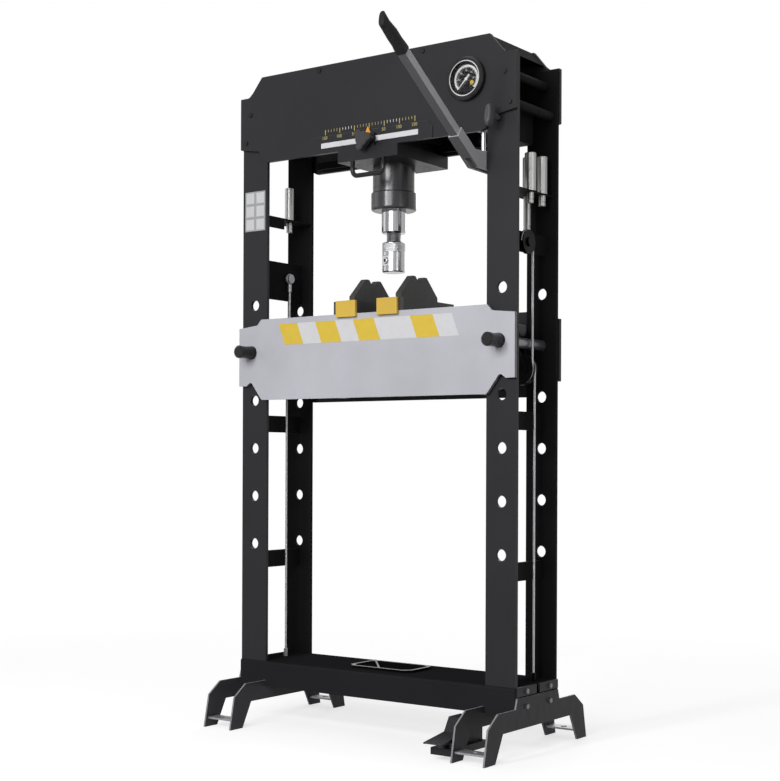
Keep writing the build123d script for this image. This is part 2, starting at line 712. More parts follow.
# Folded cover between the plates, down along the slanted shoulders
cover_outer = [
    (HEAD_SHOULDER - COVER_INSET, SHOULDER_Z),
    (HEAD_TOP_HALF - COVER_INSET, HEAD_TOP - COVER_INSET),
]
cover_inner = [
    (HEAD_SHOULDER - COVER_INSET - COVER_SHEET, SHOULDER_Z),
    (HEAD_TOP_HALF - COVER_INSET - COVER_SHEET / 2, HEAD_TOP - COVER_INSET - COVER_SHEET),
]
cover_path = cover_outer + [(-x, z) for x, z in reversed(cover_outer)]
cover_path += [(-x, z) for x, z in cover_inner] + list(reversed(cover_inner))
save("head_cover", plate_y(cover_path, HEAD_FRONT_BACK, -HEAD_FRONT_BACK))

# Spacer bars between the columns' upper ends
spacer_places = [
    (side * (COLUMN_OUTER - inset), height)
    for side in (-1, 1)
    for inset, height in (
        (SPACER_UPPER_INSET, HEAD_TOP - SPACER_UPPER_DROP),
        (SPACER_LOWER_INSET, HEAD_BOTTOM + SPACER_LOWER_RISE),
    )
]
save("head_spacers", *[bar_y(x, z, FRONT_INSIDE, REAR_INSIDE, SPACER_RADIUS) for x, z in spacer_places])

# Rails that the carriage hangs on
RAIL_BOTTOM = HEAD_BOTTOM + RAIL_RISE
rails = [
    block(
        -RAIL_HALF, PUMP_X - PUMP_HALF - CUT_OVERRUN, HEAD_FRONT_BACK, HEAD_FRONT_BACK + RAIL_DEPTH,
        RAIL_BOTTOM, RAIL_TOP,
    ),
    block(-RAIL_HALF, RAIL_HALF, -HEAD_FRONT_BACK - RAIL_DEPTH, -HEAD_FRONT_BACK, RAIL_BOTTOM, RAIL_TOP),
]
save("head_rails", *rails)

# Scale plate and guide strip
scale_top = HEAD_BOTTOM + SCALE_HEIGHT
scale_half = [
    (SCALE_HALF, HEAD_BOTTOM), (SCALE_HALF, scale_top - SCALE_CORNER),
    (SCALE_HALF - SCALE_CORNER, scale_top),
]
save("scale_plate", plate_y(mirrored(scale_half), SCALE_FACE, HEAD_FRONT_FACE))
STRIP_BOTTOM = HEAD_BOTTOM + STRIP_RISE
save(
    "guide_strip",
    block(-STRIP_HALF, STRIP_HALF, STRIP_FACE, SCALE_FACE, STRIP_BOTTOM, STRIP_BOTTOM + STRIP_HEIGHT),
)

# Ties
ties = [
    block(
        side * COLUMN_MID - TIE_THICKNESS / 2, side * COLUMN_MID + TIE_THICKNESS / 2, FRONT_INSIDE,
        REAR_INSIDE, low, low + TIE_HEIGHT,
    )
    for side in (-1, 1)
    for low in (TIE_LOWER, TIE_UPPER)
]
save("column_ties", *ties)

# Plate on the left that the rear rope hangs from, and plate on the right that carries the drum
anchor_x = ROPE_LEFT_X - ANCHOR_OFFSET
anchor = block(
    anchor_x - ANCHOR_PLATE, anchor_x, FRONT_INSIDE, REAR_INSIDE, ANCHOR_BOTTOM,
    ANCHOR_BOTTOM + ANCHOR_HEIGHT,
)
anchor -= bar_x(
    ROPE_REAR_Y, EYE_HEIGHT, anchor_x - ANCHOR_PLATE - CUT_OVERRUN, anchor_x + CUT_OVERRUN, DRUM_BOLT_RADIUS
)
save("rope_anchor_plate", anchor)
drum_left = ROPE_RIGHT_X - DRUM_WIDTH / 2
bracket_x = drum_left - SLIDE_CLEARANCE
bracket = block(
    bracket_x - ANCHOR_PLATE, bracket_x, FRONT_INSIDE, REAR_INSIDE, DRUM_BRACKET_BOTTOM,
    DRUM_BRACKET_BOTTOM + DRUM_BRACKET_HEIGHT,
)
bracket -= bar_x(
    DRUM_FRONT_Y, DRUM_HEIGHT, bracket_x - ANCHOR_PLATE - CUT_OVERRUN, bracket_x + CUT_OVERRUN,
    DRUM_BOLT_RADIUS,
)
save("drum_bracket", bracket)

# Tool racks: a shelf with a lip along its inner edge, bored for the mandrels' spigots
MANDRELS = [
    (-(RACK_EDGE + MANDREL_LEFT_INSET), MANDREL_LEFT_Y, MANDREL_LEFT_RADIUS, SPIGOT_RADIUS, SPIGOT_DROP),
    (RACK_EDGE + MANDREL_LARGE_INSET, MANDREL_LARGE_Y, MANDREL_LARGE_RADIUS, SPIGOT_RADIUS, SPIGOT_DROP),
    (RACK_EDGE + MANDREL_SMALL_INSET, MANDREL_SMALL_Y, MANDREL_SMALL_RADIUS, SPIGOT_RADIUS, SPIGOT_DROP),
    (
        RACK_EDGE + MANDREL_LONG_INSET, MANDREL_LONG_Y, MANDREL_LONG_RADIUS,
        SPIGOT_LONG_RADIUS, SPIGOT_LONG_DROP,
    ),
]


def tool_rack(side):
    """The folded shelf on one side, bored for the mandrels that stand in it."""
    near, far = side * RACK_EDGE, side * (RACK_EDGE + RACK_WIDTH)
    lip = side * (RACK_EDGE + RACK_SHEET)
    shelf = block(
        min(near, far), max(near, far), FRONT_INSIDE, REAR_INSIDE, RACK_TOP - RACK_SHEET, RACK_TOP
    )
    shelf += block(min(near, lip), max(near, lip), FRONT_INSIDE, REAR_INSIDE, RACK_TOP - RACK_LIP, RACK_TOP)
    for x, y, _, spigot, _ in MANDRELS:
        hole = bar_z(x, y, RACK_TOP - RACK_LIP, RACK_TOP + CUT_OVERRUN, spigot + SPIGOT_CLEARANCE)
        shelf = shelf - hole if x * side > 0 else shelf
    return shelf


save("tool_racks", tool_rack(-1), tool_rack(1))


def mandrel(x, y, radius, spigot, drop):
    """A turned mandrel with a grooved spigot, standing in its rack."""
    top = RACK_TOP + MANDREL_HEIGHT
    low = RACK_TOP - drop
    groove = low + SPIGOT_GROOVE_RISE
    profile = [
        (0, low), (spigot - MANDREL_EDGE, low), (spigot, low + MANDREL_EDGE), (spigot, groove),
        (spigot - SPIGOT_GROOVE_DEPTH, groove), (spigot - SPIGOT_GROOVE_DEPTH, groove + SPIGOT_GROOVE),
        (spigot, groove + SPIGOT_GROOVE), (spigot, RACK_TOP), (radius, RACK_TOP),
        (radius, top - MANDREL_EDGE), (radius - MANDREL_EDGE, top), (0, top),
    ]
    return Pos(x, y, 0) * turned(profile)


save("mandrels", *[mandrel(*row) for row in MANDRELS])

# Base: a folded channel whose lips lap the columns' feet, slotted for the inner foot plates
channel = [
    (BASE_FRONT, BASE_BOTTOM), (BASE_FRONT, BASE_TOP), (BASE_REAR, BASE_TOP), (BASE_REAR, BASE_BOTTOM),
    (REAR, BASE_BOTTOM), (REAR, BASE_TOP - BASE_SHEET), (FRONT, BASE_TOP - BASE_SHEET), (FRONT, BASE_BOTTOM),
]
base = plate_x(channel, -COLUMN_OUTER, COLUMN_OUTER)
bends = [(BASE_FRONT, BASE_TOP), (BASE_REAR, BASE_TOP)]
base = fillet(corner_edges(base, Axis.X, bends, BASE_BEND), BASE_BEND)
deck_under = BASE_TOP - BASE_SHEET - CUT_OVERRUN
for side in (-1, 1):
    x_low, x_high = sorted((side * COLUMN_INNER, side * (COLUMN_OUTER + CUT_OVERRUN)))
    for y_low, y_high in ((FRONT, FRONT_INSIDE), (REAR_INSIDE, REAR)):
        base -= block(x_low, x_high, y_low, y_high, deck_under, BASE_TOP + CUT_OVERRUN)
    x_low, x_high = sorted((side * INNER_FACE, side * COLUMN_INNER))
    slot_low = BASE_BOTTOM - CUT_OVERRUN
    base -= block(x_low, x_high, BASE_FRONT - CUT_OVERRUN, BASE_REAR + CUT_OVERRUN, slot_low, FOOT_TOP)
save("base_channel", base)

# Foot plates, with an arch between the toes and a tab up the outer side
FOOT_SIDE = [
    (TOE_INNER, 0), (TOE_OUTER, 0), (TOE_KNEE, TOE_KNEE_RISE), (FOOT_SHOULDER, FOOT_TOP),
]
OUTER_FOOT = mirrored(
    [(FOOT_ARCH, FOOT_ARCH_RISE)] + FOOT_SIDE + [(TAB_ROOT, FOOT_TOP), (TAB_TOP_HALF, TAB_TOP)]
)
INNER_FOOT = mirrored([(FOOT_ARCH, FOOT_ARCH_RISE)] + FOOT_SIDE)


def bolt_places(side, heights):
    """The places of the foot bolts on the outside of one column pair."""
    return [(side * COLUMN_OUTER, y, z) for y in (-BOLT_SPREAD, BOLT_SPREAD) for z in heights]


def bored(plate, side, heights):
    """Cut the bolt holes of an end plate or of a foot's tab."""
    for x, y, z in bolt_places(side, heights):
        plate -= bar_x(
            y, z, x - side * CUT_OVERRUN, x + side * (FOOT_PLATE + CUT_OVERRUN), BOLT_SHANK_RADIUS
        )
    return plate


for side, label in ((-1, "left"), (1, "right")):
    x_low, x_high = sorted((side * COLUMN_OUTER, side * (COLUMN_OUTER + FOOT_PLATE)))
    save(f"{label}_outer_foot", bored(plate_x(OUTER_FOOT, x_low, x_high), side, [BOLT_LOWER]))
    x_low, x_high = sorted((side * INNER_FACE, side * COLUMN_INNER))
    save(f"{label}_inner_foot", plate_x(INNER_FOOT, x_low, x_high))

end_plates = []
toe_plates = []
bolts = []
for side in (-1, 1):
    x_low, x_high = sorted((side * COLUMN_OUTER, side * (COLUMN_OUTER + FOOT_PLATE)))
    for y_low, y_high in ((-TAB_TOP_HALF, -END_PLATE_GAP / 2), (END_PLATE_GAP / 2, TAB_TOP_HALF)):
        plate = block(x_low, x_high, y_low, y_high, TAB_TOP, END_PLATE_TOP)
        bend = plate.edges().filter_by(Axis.Y).group_by(Axis.Z)[-1].sort_by(Axis.X)[-1 if side > 0 else 0]
        end_plates.append(bored(fillet([bend], END_PLATE_ROUND), side, [BOLT_UPPER]))
    for x, y, z in bolt_places(side, (BOLT_UPPER, BOLT_LOWER)):
        face = x + side * FOOT_PLATE
        head = Plane((face, y, z), z_dir=(side, 0, 0)) * extrude(
            RegularPolygon(BOLT_HEAD_RADIUS, BOLT_SIDES), amount=BOLT_HEAD_HEIGHT
        )
        bolts.append(head + bar_x(y, z, x, face, BOLT_SHANK_RADIUS - RUNNING_CLEARANCE))
    for end in (-1, 1):
        x_low, x_high = sorted((side * COLUMN_INNER, side * COLUMN_OUTER))
        y_low, y_high = sorted((end * TOE_PLATE_FRONT, end * TOE_PLATE_BACK))
        toe = block(x_low, x_high, y_low, y_high, TOE_PLATE_RISE, TOE_PLATE_RISE + FOOT_PLATE)
        toe_plates.append(toe - bar_z(side * COLUMN_MID, end * TOE_MID, 0, FOOT_TOP, TOE_HOLE_RADIUS))
save("base_end_plates", *end_plates)
save("toe_plates", *toe_plates)
screws = spacer_places + [(side * HEAD_SCREW_X, HEAD_TOP - HEAD_SCREW_DROP) for side in (-1, 1)]
for x, z in screws:
    bolts.append(bar_y(x, z, HEAD_FRONT_FACE - HEAD_SCREW_HEIGHT, HEAD_FRONT_FACE, HEAD_SCREW_RADIUS))
    bolts.append(bar_y(x, z, -HEAD_FRONT_FACE, -HEAD_FRONT_FACE + HEAD_SCREW_HEIGHT, HEAD_SCREW_RADIUS))
save("frame_bolts", *bolts)

# Bed plates: ears that lap the columns, notched lower corners
BED_EAR_TOP = BED_TOP - BED_EAR_TOP_DROP
BED_HALF_OUTLINE = [
    (BED_BOTTOM_HALF, BED_BOTTOM),
    (BED_NOTCH, BED_BOTTOM + BED_NOTCH_RISE),
    (BED_NOTCH_OUTER, BED_BOTTOM + BED_EAR_BOTTOM_RISE),
    (BED_EAR_HALF, BED_BOTTOM + BED_EAR_BOTTOM_RISE),
    (BED_EAR_HALF, BED_EAR_TOP - BED_EAR_SLOPE),
    (BED_SHOULDER, BED_EAR_TOP),
    (BED_TOP_HALF, BED_TOP),
]
BED_BARS = [
    (side * x, z)
    for side in (-1, 1)
    for x, z in ((BED_BAR_X, BED_TOP - BED_BAR_DROP), (BED_LOW_BAR_X, BED_BOTTOM + BED_LOW_BAR_RISE))
]
AXLES = [SHEAVE_LEFT_X, SHEAVE_RIGHT_X]


def bed_plate(y_front, y_back):
    """One side plate of the bed, bored for its pins, bars and axles."""
    plate = plate_y(mirrored(BED_HALF_OUTLINE), y_front, y_back)
    turns = (BED_HALF_OUTLINE[0], BED_HALF_OUTLINE[1], BED_HALF_OUTLINE[5])
    rounded = [(side * x, z) for side in (-1, 1) for x, z in turns]
    plate = fillet(corner_edges(plate, Axis.Y, rounded, EAR_CORNER_RADIUS), BED_CORNER_RADIUS)
    holes = [(side * COLUMN_MID, PIN_HEIGHT, HOLE_RADIUS) for side in (-1, 1)]
    holes += [(x, z, BED_BAR_TENON) for x, z in BED_BARS]
    for x, z, radius in holes:
        plate -= hole_y(x, z, y_front, y_back, radius)
    return plate


save("bed_front_plate", bed_plate(BED_FRONT_FACE, BED_FRONT_BACK))
save("bed_rear_plate", bed_plate(-BED_FRONT_BACK, -BED_FRONT_FACE))


def bed_bar(x, z):
    """A spacer bar with a tenon through each bed plate."""
    tenon = BED_BAR_TENON - RUNNING_CLEARANCE
    shoulder = bar_y(x, z, BED_FRONT_BACK, -BED_FRONT_BACK, BED_BAR_RADIUS)
    return shoulder + bar_y(x, z, BED_FRONT_FACE, -BED_FRONT_FACE, tenon)


save("bed_spacers", *[bed_bar(x, z) for x, z in BED_BARS])

# Rope sheaves on two short axles, each held by a pair of links welded to an upper spacer bar
LINK_FRONT = ROPE_FRONT_Y - SHEAVE_WIDTH / 2 - SLIDE_CLEARANCE
LINK_REAR = ROPE_REAR_Y + SHEAVE_WIDTH / 2 + SLIDE_CLEARANCE


def link(side, axle_x, y_front):
    """A round-ended plate from an upper spacer bar to a sheave axle."""
    bar_x, bar_z = side * BED_BAR_X, BED_TOP - BED_BAR_DROP
    run = Vector(axle_x - bar_x, 0, SHEAVE_HEIGHT - bar_z)
    middle = ((axle_x + bar_x) / 2, y_front + LINK_PLATE, (SHEAVE_HEIGHT + bar_z) / 2)
    plane = Plane(middle, x_dir=run, z_dir=(0, -1, 0))
    shape = extrude(plane * SlotCenterToCenter(run.length, LINK_RADIUS * 2), amount=LINK_PLATE)
    for x, z, radius in ((bar_x, bar_z, BED_BAR_RADIUS), (axle_x, SHEAVE_HEIGHT, AXLE_RADIUS)):
        start, end = (x, y_front - CUT_OVERRUN, z), (x, y_front + LINK_PLATE + CUT_OVERRUN, z)
        shape -= bar(start, end, radius + RUNNING_CLEARANCE)
    return shape


carriers = []
for side, x in ((-1, SHEAVE_LEFT_X), (1, SHEAVE_RIGHT_X)):
    carriers += [link(side, x, LINK_FRONT - LINK_PLATE), link(side, x, LINK_REAR)]
    carriers.append(bar_y(x, SHEAVE_HEIGHT, LINK_FRONT - LINK_PLATE, LINK_REAR + LINK_PLATE, AXLE_RADIUS))
save("sheave_carriers", *carriers)


def sheave(x, y):
    """A grooved wheel whose groove takes the rope."""
    half = SHEAVE_WIDTH / 2
    floor = ROPE_WRAP - ROPE_RADIUS - SHEAVE_GROOVE_CLEARANCE
    mouth = ROPE_RADIUS + SHEAVE_GROOVE_CLEARANCE
    bore = AXLE_RADIUS + AXLE_CLEARANCE
    profile = [
        (bore, y - half), (SHEAVE_RIM, y - half), (SHEAVE_RIM, y - mouth), (floor, y - mouth),
        (floor, y + mouth), (SHEAVE_RIM, y + mouth), (SHEAVE_RIM, y + half), (bore, y + half),
    ]
    return along_y(x, SHEAVE_HEIGHT) * turned(profile)


save("rope_sheaves", *[sheave(x, y) for x in AXLES for y in (ROPE_FRONT_Y, ROPE_REAR_Y)])


# Ropes: down from the top, under one sheave, across, over the other and down to the deck
def rope(y, start_x, start_z, near_x, far_x, far_end_x, lead=None):
    """One rope in the plane y, as runs and arcs, swept with a round section."""
    span = far_x - near_x
    toward = math.copysign(1, span)
    lean = math.asin(ROPE_WRAP * 2 / abs(span))
    centre_near = Vector(near_x, y, SHEAVE_HEIGHT)
    centre_far = Vector(far_x, y, SHEAVE_HEIGHT)
    touch = Vector(toward * math.sin(lean), 0, -math.cos(lean)) * ROPE_WRAP
    half_turn = math.radians(270) + lean
    bend = (math.pi + half_turn) / 2
    mid = Vector(toward * math.cos(bend), 0, math.sin(bend)) * ROPE_WRAP
    top = Vector(start_x, y, start_z)
    meet = Vector(start_x, y, SHEAVE_HEIGHT)
    leave = Vector(far_end_x, y, SHEAVE_HEIGHT)
    foot = Vector(far_end_x, y, BASE_TOP + FERRULE_LENGTH)
    lines = [
        Line(top, meet),
        ThreePointArc(meet, centre_near + mid, centre_near + touch),
        Line(centre_near + touch, centre_far - touch),
        ThreePointArc(centre_far - touch, centre_far - mid, leave),
        Line(leave, foot),
    ]
    path = Wire([edge for line in lines for edge in line.edges()])
    section = Plane(top, z_dir=(0, 0, -1)) * Circle(ROPE_RADIUS)
    run = sweep(section, path=path)
    return run if lead is None else run + lead


ferrule_top = EYE_HEIGHT - EYE_RADIUS - EYE_WIRE
save(
    "left_rope",
    rope(
        ROPE_REAR_Y, ROPE_LEFT_X, ferrule_top - FERRULE_LENGTH, SHEAVE_LEFT_X, SHEAVE_RIGHT_X, ROPE_RIGHT_X
    ),
)

drum_centre = Vector(ROPE_RIGHT_X, DRUM_FRONT_Y, DRUM_HEIGHT)
wrap_plane = Plane((ROPE_RIGHT_X, ROPE_FRONT_Y, DRUM_HEIGHT), z_dir=(0, 0, 1))
wrap = revolve(wrap_plane * Circle(ROPE_RADIUS), Axis(drum_centre, (1, 0, 0)), 180)
save(
    "right_rope",
    rope(ROPE_FRONT_Y, ROPE_RIGHT_X, DRUM_HEIGHT, SHEAVE_RIGHT_X, SHEAVE_LEFT_X, ROPE_LEFT_X, wrap),
)

# Drum on its bolt, eye on its bolt, and the ferrules at the rope ends
drum_floor = DRUM_WRAP - ROPE_RADIUS - SHEAVE_GROOVE_CLEARANCE
drum_right = drum_left + DRUM_WIDTH
drum = along_x(DRUM_FRONT_Y, DRUM_HEIGHT) * turned([
    (0, bracket_x - ANCHOR_PLATE), (DRUM_BOLT_RADIUS - RUNNING_CLEARANCE, bracket_x - ANCHOR_PLATE),
    (DRUM_BOLT_RADIUS - RUNNING_CLEARANCE, drum_left), (DRUM_FLANGE_RADIUS, drum_left),
    (DRUM_FLANGE_RADIUS, drum_left + DRUM_FLANGE), (drum_floor, drum_left + DRUM_FLANGE),
    (drum_floor, drum_right - DRUM_FLANGE), (DRUM_FLANGE_RADIUS, drum_right - DRUM_FLANGE),
    (DRUM_FLANGE_RADIUS, drum_right), (DRUM_HEAD_RADIUS, drum_right),
    (DRUM_HEAD_RADIUS, drum_right + DRUM_HEAD), (0, drum_right + DRUM_HEAD),
])

eye = along_x(ROPE_REAR_Y, EYE_HEIGHT) * Pos(0, 0, ROPE_LEFT_X) * Torus(EYE_RADIUS, EYE_WIRE)
eye_head = ROPE_LEFT_X + EYE_WIRE + SLIDE_CLEARANCE
eye_bolt = along_x(ROPE_REAR_Y, EYE_HEIGHT) * turned([
    (0, anchor_x - ANCHOR_PLATE), (DRUM_BOLT_RADIUS - RUNNING_CLEARANCE, anchor_x - ANCHOR_PLATE),
    (
        DRUM_BOLT_RADIUS - RUNNING_CLEARANCE, anchor_x
    ), (EYE_BOLT_RADIUS, anchor_x), (EYE_BOLT_RADIUS, eye_head),
    (EYE_RADIUS, eye_head), (EYE_RADIUS, eye_head + EYE_BOLT_HEAD), (0, eye_head + EYE_BOLT_HEAD),
])


def ferrule(x, y, low):
    """The pressed sleeve on a rope end."""
    return bar_z(x, y, low, low + FERRULE_LENGTH, FERRULE_RADIUS)


save("rope_fittings", drum, eye_bolt, eye + ferrule(ROPE_LEFT_X, ROPE_REAR_Y, ferrule_top - FERRULE_LENGTH),
     ferrule(ROPE_RIGHT_X, ROPE_REAR_Y, BASE_TOP), ferrule(ROPE_LEFT_X, ROPE_FRONT_Y, BASE_TOP))

# Bed pins with moulded grips
GRIP_BACK = BED_FRONT_FACE - PIN_SEAT
GRIP_FRONT = GRIP_BACK - GRIP_LENGTH
PIN_END = -BED_FRONT_FACE + PIN_TAIL
PIN_SOCKET = GRIP_FRONT + PIN_SOCKET_WALL
for side, label in ((-1, "left"), (1, "right")):
    place = along_y(side * COLUMN_MID, PIN_HEIGHT)
    pin = turned([
        (0, PIN_SOCKET), (PIN_RADIUS, PIN_SOCKET), (PIN_RADIUS, PIN_END - GRIP_ROUND),
        (PIN_RADIUS - GRIP_ROUND, PIN_END), (0, PIN_END),
    ])
    grip = turned([
        (0, GRIP_FRONT), (GRIP_RADIUS - GRIP_ROUND, GRIP_FRONT), (GRIP_RADIUS, GRIP_FRONT + GRIP_ROUND),
        (GRIP_WAIST_RADIUS, (GRIP_FRONT + GRIP_BACK) / 2), (GRIP_RADIUS, GRIP_BACK - GRIP_COLLAR),
        (GRIP_COLLAR_RADIUS, GRIP_BACK - GRIP_COLLAR), (GRIP_COLLAR_RADIUS, GRIP_BACK),
        (PIN_RADIUS, GRIP_BACK), (PIN_RADIUS, PIN_SOCKET), (0, PIN_SOCKET),
    ])
    save(f"bed_pin_{label}", place * pin)
    save(f"pin_grip_{label}", place * grip)

# V-blocks: a base bar across both bed plates and an upright plate with a V between two peaks
VEE_BASE_TOP = BED_TOP + VEE_BASE_HEIGHT
vee_half = [
    (VEE_HALF, VEE_BASE_TOP), (VEE_HALF, BED_TOP + VEE_SHOULDER), (VEE_PEAK_OUTER, BED_TOP + VEE_HEIGHT),
    (VEE_PEAK_INNER, BED_TOP + VEE_HEIGHT),
]
vee_outline = vee_half + [
    (0, BED_TOP + VEE_HEIGHT - VEE_NOTCH_DEPTH)
] + [(-y, z) for y, z in reversed(vee_half)]
VEE_REACH = -BED_FRONT_FACE + VEE_BASE_OVERHANG
caps = []
for side, label in ((-1, "left"), (1, "right")):
    middle = side * VEE_BASE_MID
    upright = plate_x(
        vee_outline, side * VEE_PLATE_MID - VEE_PLATE / 2, side * VEE_PLATE_MID + VEE_PLATE / 2
    )
    peaks = [(end * y, BED_TOP + VEE_HEIGHT) for end in (-1, 1) for y in (VEE_PEAK_OUTER, VEE_PEAK_INNER)]
    upright = fillet(corner_edges(upright, Axis.X, peaks, VEE_ROUND), VEE_ROUND)
    base_bar = block(
        middle - VEE_BASE_WIDTH / 2, middle + VEE_BASE_WIDTH / 2, BED_FRONT_FACE, VEE_REACH, BED_TOP,
        VEE_BASE_TOP,
    )
    save(f"vee_block_{label}", base_bar + upright)
    cap_top = BED_TOP - CAP_DROP + CAP_HEIGHT
    cap_left, cap_right = side * CAP_MID - CAP_WIDTH / 2, side * CAP_MID + CAP_WIDTH / 2
    cap_front = BED_FRONT_FACE - CAP_DEPTH
    cap = block(cap_left, cap_right, cap_front, BED_FRONT_FACE, cap_top - CAP_HEIGHT, cap_top)
    caps.append(fillet(upright_edges(cap, Axis.Z), CAP_ROUND))
save("vee_block_caps", *caps)


# Drip tray: a shallow pan with cut corners, a turned-out rim and a rod across
def octagon(inset):
    """The tray's outline with cut corners, set in all round."""
    x, y = TRAY_LENGTH / 2 - inset, TRAY_WIDTH / 2 - inset
    cut = TRAY_CORNER
    corners = [
        (x, y - cut), (x - cut, y), (cut - x, y), (-x, y - cut), (-x, cut - y), (cut - x, -y),
        (x - cut, -y), (x, cut - y),
    ]
    return [(TRAY_X + a, TRAY_Y + b) for a, b in corners]


TRAY_TOP = BASE_TOP + TRAY_HEIGHT
tray = plate_z(octagon(TRAY_RIM), BASE_TOP, TRAY_TOP) + plate_z(octagon(0), TRAY_TOP - TRAY_WALL, TRAY_TOP)
tray -= plate_z(octagon(TRAY_RIM + TRAY_WALL), BASE_TOP + TRAY_WALL, TRAY_TOP + CUT_OVERRUN)
rod_reach = TRAY_WIDTH / 2 - TRAY_RIM
tray += bar(
    (TRAY_X + TRAY_ROD_FRONT, TRAY_Y - rod_reach, TRAY_TOP),
    (TRAY_X + TRAY_ROD_BACK, TRAY_Y + rod_reach, TRAY_TOP), TRAY_ROD_RADIUS,
)
save("drip_tray", tray)

# Carriage: slab under the head, neck between the rails, hanger plate on them, front plate with a lug
barrel_hole = Pos(0, 0, (CARRIAGE_BOTTOM + BARREL_TOP) / 2) * Cylinder(
    BARREL_RADIUS + RUNNING_CLEARANCE, BARREL_TOP
)
slab = block(-CARRIAGE_HALF, CARRIAGE_HALF, -CARRIAGE_FACE, CARRIAGE_BACK, CARRIAGE_BOTTOM, CARRIAGE_TOP)
slab = chamfer(upright_edges(slab, Axis.Z), CARRIAGE_EDGE)
neck = block(-NECK_HALF, NECK_HALF, -NECK_DEPTH, NECK_DEPTH, CARRIAGE_TOP, HANGER_BOTTOM)
hanger = block(
    -HANGER_HALF, HANGER_HALF, -HANGER_DEPTH, HANGER_DEPTH, HANGER_BOTTOM, HANGER_BOTTOM + HANGER_THICKNESS
)
lug = block(-LUG_HALF, LUG_HALF, -CARRIAGE_FACE, STRIP_FACE - LUG_BACK_GAP, CARRIAGE_TOP, LUG_TOP)
clamp_hole = bar_y(
    0, CLAMP_HEIGHT, -CARRIAGE_FACE - CUT_OVERRUN, STRIP_FACE, CLAMP_SHANK_RADIUS + RUNNING_CLEARANCE
)
save("carriage", slab + neck + hanger + lug - barrel_hole - clamp_hole)

handle_y = -CARRIAGE_FACE + FACE_PLATE / 2
handle_low = CARRIAGE_BOTTOM - HANDLE_DROP
corner = HANDLE_HALF - HANDLE_BEND
handle_path = Wire([edge for line in (
    Line((-HANDLE_HALF, handle_y, CARRIAGE_BOTTOM), (-HANDLE_HALF, handle_y, handle_low + HANDLE_BEND)),
    TangentArc(
        (-HANDLE_HALF, handle_y, handle_low + HANDLE_BEND), (-corner, handle_y, handle_low),
        tangent=(0, 0, -1),
    ),
    Line((-corner, handle_y, handle_low), (corner, handle_y, handle_low)),
    TangentArc(
        (corner, handle_y, handle_low), (HANDLE_HALF, handle_y, handle_low + HANDLE_BEND), tangent=(1, 0, 0)
    ),
    Line((HANDLE_HALF, handle_y, handle_low + HANDLE_BEND), (HANDLE_HALF, handle_y, CARRIAGE_BOTTOM)),
) for edge in line.edges()])
handle_section = Plane((-HANDLE_HALF, handle_y, CARRIAGE_BOTTOM), z_dir=(0, 0, -1)) * Circle(HANDLE_RADIUS)
save("carriage_handle", sweep(handle_section, path=handle_path))

pointer = [(-POINTER_HALF, LUG_TOP), (POINTER_HALF, LUG_TOP), (0, LUG_TOP + POINTER_HEIGHT)]
pointer_back = STRIP_FACE - LUG_BACK_GAP
save("scale_pointer", plate_y(pointer, pointer_back - POINTER_SHEET, pointer_back))

# Clamp knob: three rounded lobes around a hub, on a threaded shank
knob_back = -CARRIAGE_FACE - SLIDE_CLEARANCE
hub_front = knob_back - CLAMP_HUB_LENGTH
lobes = Circle(CLAMP_LOBE_CIRCLE)
for share in TURN_SHARES:
    angle = math.radians(CLAMP_TURN_DEG) + 2 * math.pi * share
    lobes += Pos(
        CLAMP_LOBE_CIRCLE * math.cos(angle), CLAMP_LOBE_CIRCLE * math.sin(angle)
    ) * Circle(CLAMP_LOBE_RADIUS)
knob_plane = Plane((0, hub_front, CLAMP_HEIGHT), x_dir=(1, 0, 0), z_dir=(0, -1, 0))
knob_head = extrude(knob_plane * lobes, amount=CLAMP_HEAD_LENGTH)
knob_head = chamfer(knob_head.faces().sort_by(Axis.Y)[0].edges(), CLAMP_ROUND)
knob = knob_head + bar_y(0, CLAMP_HEIGHT, knob_back, hub_front, CLAMP_HUB_RADIUS)
save("clamp_knob", knob + bar_y(0, CLAMP_HEIGHT, knob_back, STRIP_FACE - LUG_BACK_GAP, CLAMP_SHANK_RADIUS))

# Cylinder barrel with its gland collar
groove_low = COLLAR_TOP + BARREL_GROOVE_RISE
gland_bore = RAM_RADIUS + RUNNING_CLEARANCE
groove_radius = BARREL_RADIUS - BARREL_GROOVE_DEPTH
barrel = turned([
    (gland_bore, COLLAR_BOTTOM), (
        COLLAR_RADIUS, COLLAR_BOTTOM
    ), (COLLAR_RADIUS, COLLAR_TOP), (BARREL_RADIUS, COLLAR_TOP),
    (BARREL_RADIUS, groove_low), (groove_radius, groove_low), (groove_radius, groove_low + BARREL_GROOVE),
    (BARREL_RADIUS, groove_low + BARREL_GROOVE), (BARREL_RADIUS, BARREL_TOP), (0, BARREL_TOP),
    (0, BARREL_TOP - BARREL_CAP), (
        BARREL_BORE, BARREL_TOP - BARREL_CAP
    ), (BARREL_BORE, COLLAR_TOP), (gland_bore, COLLAR_TOP),
])
rims = barrel.edges().filter_by(GeomType.CIRCLE).filter_by(
    lambda e: abs(e.radius - COLLAR_RADIUS) < CUT_OVERRUN
).sort_by(Axis.Z)
barrel = fillet([rims[0]], COLLAR_ROUND)
rims = barrel.edges().filter_by(GeomType.CIRCLE).filter_by(
    lambda e: abs(e.radius - COLLAR_RADIUS) < CUT_OVERRUN
).sort_by(Axis.Z)
save("cylinder_barrel", fillet([rims[-1]], COLLAR_TOP_ROUND))

